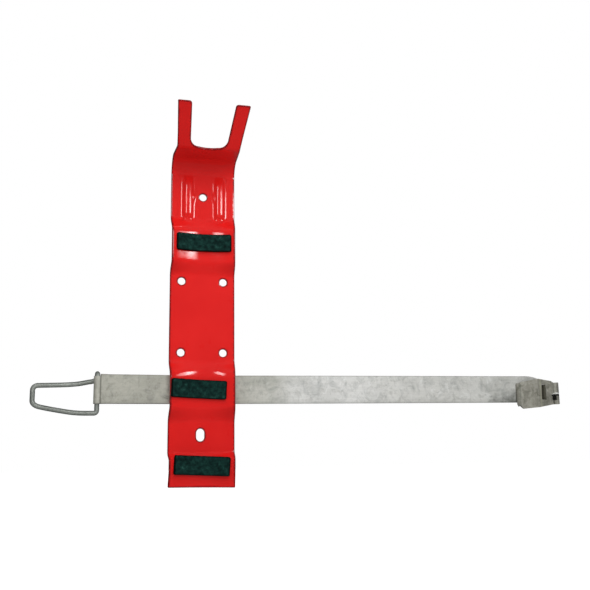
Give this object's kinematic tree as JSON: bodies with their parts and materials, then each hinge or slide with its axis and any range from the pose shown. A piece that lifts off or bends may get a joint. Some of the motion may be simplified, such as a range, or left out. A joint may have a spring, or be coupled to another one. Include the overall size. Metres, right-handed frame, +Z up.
{
  "type": "fire extinguisher vehicle bracket",
  "caption": "Red steel wall or vehicle bracket for a large extinguisher: forked neck hanger, padded saddles, steel band with wire bail and hinged latch lever.",
  "frame": {"origin": "centre of the rectangle of wall holes, on the plate's back face", "axes": "+X along the band towards the latch, +Y from the cylinder into the wall, +Z up"},
  "size_m": [0.7385, 0.11, 0.4923],
  "materials": {
    "red_enamel": "gloss",
    "pad_rubber": "matte",
    "adhesive_film": "matte",
    "band_steel": "satin",
    "latch_steel": "satin",
    "wire_steel": "satin",
    "rivet_steel": "satin"
  },
  "bodies": {
    "bracket": {"back_plate": "red_enamel", "pad_upper": "pad_rubber", "pad_middle": "pad_rubber", "pad_lower": "pad_rubber", "tape_upper": "adhesive_film", "tape_middle": "adhesive_film", "tape_lower": "adhesive_film", "strap_band": "band_steel", "strap_rivets": "rivet_steel", "hinge_leaf": "latch_steel", "leaf_rivets": "rivet_steel", "hinge_pin": "rivet_steel"},
    "lever": {"latch_lever": "latch_steel"},
    "bail": {"bail_wire": "wire_steel"}
  },
  "joints": [
    {"name": "lever_hinge", "type": "hinge", "parent": "bracket", "child": "lever", "pos_m": [0.5168, -0.0315, -0.1046], "axis": [0, 0, 1], "range_deg": [0, 323]},
    {"name": "bail_hinge", "type": "hinge", "parent": "bracket", "child": "bail", "pos_m": [-0.13582, -0.01132, -0.0986], "axis": [0, 0, 1], "range_deg": [-4, 150]}
  ]
}
